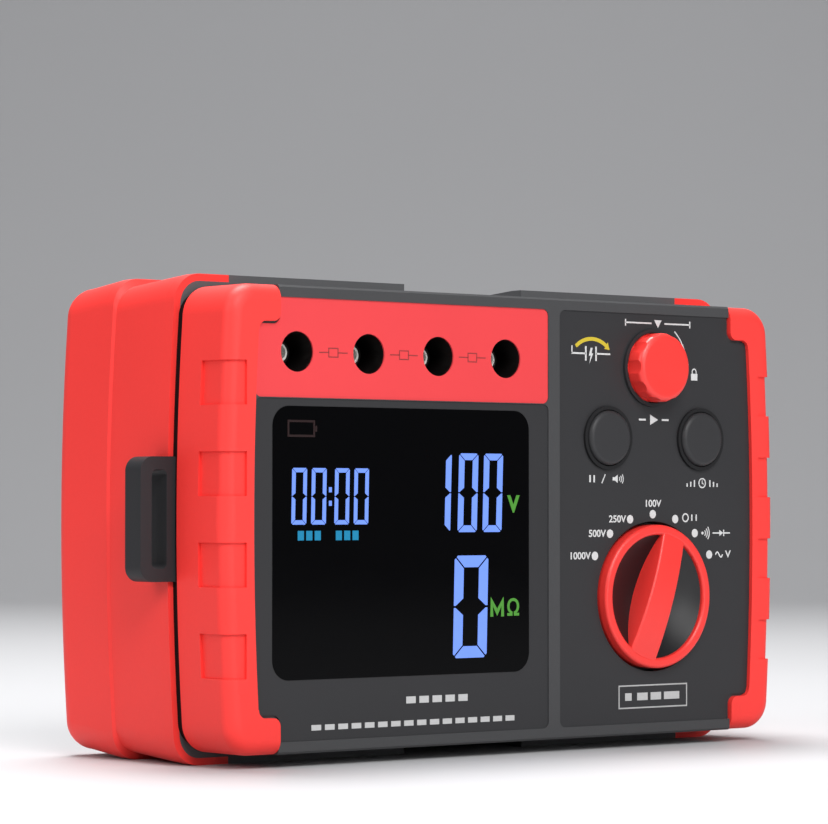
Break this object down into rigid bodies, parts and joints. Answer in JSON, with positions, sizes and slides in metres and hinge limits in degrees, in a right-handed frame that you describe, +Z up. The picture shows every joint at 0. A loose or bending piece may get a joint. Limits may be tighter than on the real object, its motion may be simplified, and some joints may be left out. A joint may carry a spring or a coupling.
{
  "type": "insulation resistance tester",
  "caption": "Box-shaped insulation tester with soft side bumpers, a wide display window, test jacks, a turned selector, keys and a press-and-lock test knob.",
  "frame": {"origin": "middle of the bounding box on the surface that the tester stands on", "axes": "+X to the right seen from the front panel, +Y from the panel into the case, +Z up"},
  "size_m": [0.2294, 0.0864, 0.1344],
  "materials": {
    "bumper_red": "soft matte moulded",
    "case_grey": "fine texture",
    "plate_red": "satin film",
    "panel_grey": "satin film",
    "lug_black": "moulded",
    "seal_black": "matte",
    "key_black": "soft satin",
    "knob_red": "satin",
    "test_red": "satin",
    "window": "gloss, dark tint",
    "display_glass": "polarised",
    "light_guide": "clear",
    "strip": "matte",
    "steel": "zinc plated",
    "brass": "plated",
    "stem_white": "acetal",
    "switch_black": "moulded",
    "board_green": "solder mask",
    "link_grey": "ribbon",
    "core_steel": "laminated",
    "can_silver": "sleeved",
    "relay_blue": "moulded",
    "resistor_tan": "lacquered",
    "fuse_glass": "clear",
    "cell_wrap": "plain wrap"
  },
  "bodies": {
    "housing": {"front_bumper_right": "bumper_red", "front_bumper_left": "bumper_red", "front_shell": "case_grey", "jack_plate": "plate_red", "display_bezel": "panel_grey", "control_panel": "panel_grey", "rear_bumper_right": "bumper_red", "rear_bumper_left": "bumper_red", "rear_shell": "case_grey", "strap_lug_right": "lug_black", "strap_lug_left": "lug_black", "seam_gasket": "seal_black", "case_screws": "steel", "case_inserts": "brass", "display_window": "window", "lcd_frame": "lug_black", "lcd_glass": "display_glass", "backlight": "light_guide", "zebra_strips": "strip", "jack_body_1": "lug_black", "jack_body_2": "lug_black", "jack_body_3": "lug_black", "jack_body_4": "lug_black", "jack_contacts": "brass", "detent_ring": "stem_white", "test_collar": "lug_black", "test_guide": "lug_black", "test_switch": "switch_black", "key_rings": "lug_black", "key_switches": "switch_black", "main_board": "board_green", "power_board": "board_green", "board_spacers": "brass", "board_screws": "steel", "board_link": "link_grey", "buzzer": "switch_black", "control_chips": "switch_black", "hv_transformer": "core_steel", "hv_capacitors": "can_silver", "relays": "relay_blue", "discharge_resistors": "resistor_tan", "fuse": "fuse_glass", "fuse_clips": "brass", "battery_tray": "lug_black", "battery_cells": "cell_wrap", "battery_contacts": "can_silver"},
    "selector": {"selector_knob": "knob_red", "knob_insert": "lug_black", "selector_rotor": "lug_black", "detent_balls": "steel", "wiper_contacts": "brass"},
    "test_plunger": {"test_stem": "stem_white", "test_spring": "steel"},
    "test_button": {"test_cap": "test_red"},
    "hold_button": {"hold_key": "key_black"},
    "mode_button": {"mode_key": "key_black"},
    "door": {"battery_door": "case_grey", "door_seal": "seal_black"},
    "door_screw_r": {"door_screw_right": "steel"},
    "door_screw_l": {"door_screw_left": "steel"}
  },
  "joints": [
    {"name": "selector_turn", "type": "hinge", "parent": "housing", "child": "selector", "pos_m": [0.0536, -0.03725, 0.04415], "axis": [0, 1, 0], "range_deg": [-80, 40]},
    {"name": "test_press", "type": "slide", "parent": "housing", "child": "test_plunger", "axis": [0, 1, 0], "range_m": [0, 0.004], "stiffness_N_per_m": 900, "springref_m": -0.002, "deforming": ["test_spring"]},
    {"name": "test_turn", "type": "hinge", "parent": "test_plunger", "child": "test_button", "pos_m": [0.0533, -0.03725, 0.1115], "axis": [0, 1, 0], "range_deg": [0, 60]},
    {"name": "hold_press", "type": "slide", "parent": "housing", "child": "hold_button", "axis": [0, 1, 0], "range_m": [0, 0.0012], "stiffness_N_per_m": 1500, "springref_m": -0.001},
    {"name": "mode_press", "type": "slide", "parent": "housing", "child": "mode_button", "axis": [0, 1, 0], "range_m": [0, 0.0012], "stiffness_N_per_m": 1500, "springref_m": -0.001},
    {"name": "door_lift", "type": "slide", "parent": "housing", "child": "door", "axis": [0, 1, 0], "range_m": [0, 0.03]},
    {"name": "door_screw_right_turn", "type": "hinge", "parent": "door", "child": "door_screw_r", "pos_m": [0.0572, 0.04075, 0.0672], "axis": [0, 1, 0], "range_deg": [-90, 0]},
    {"name": "door_screw_left_turn", "type": "hinge", "parent": "door", "child": "door_screw_l", "pos_m": [-0.0572, 0.04075, 0.0672], "axis": [0, 1, 0], "range_deg": [-90, 0]}
  ]
}
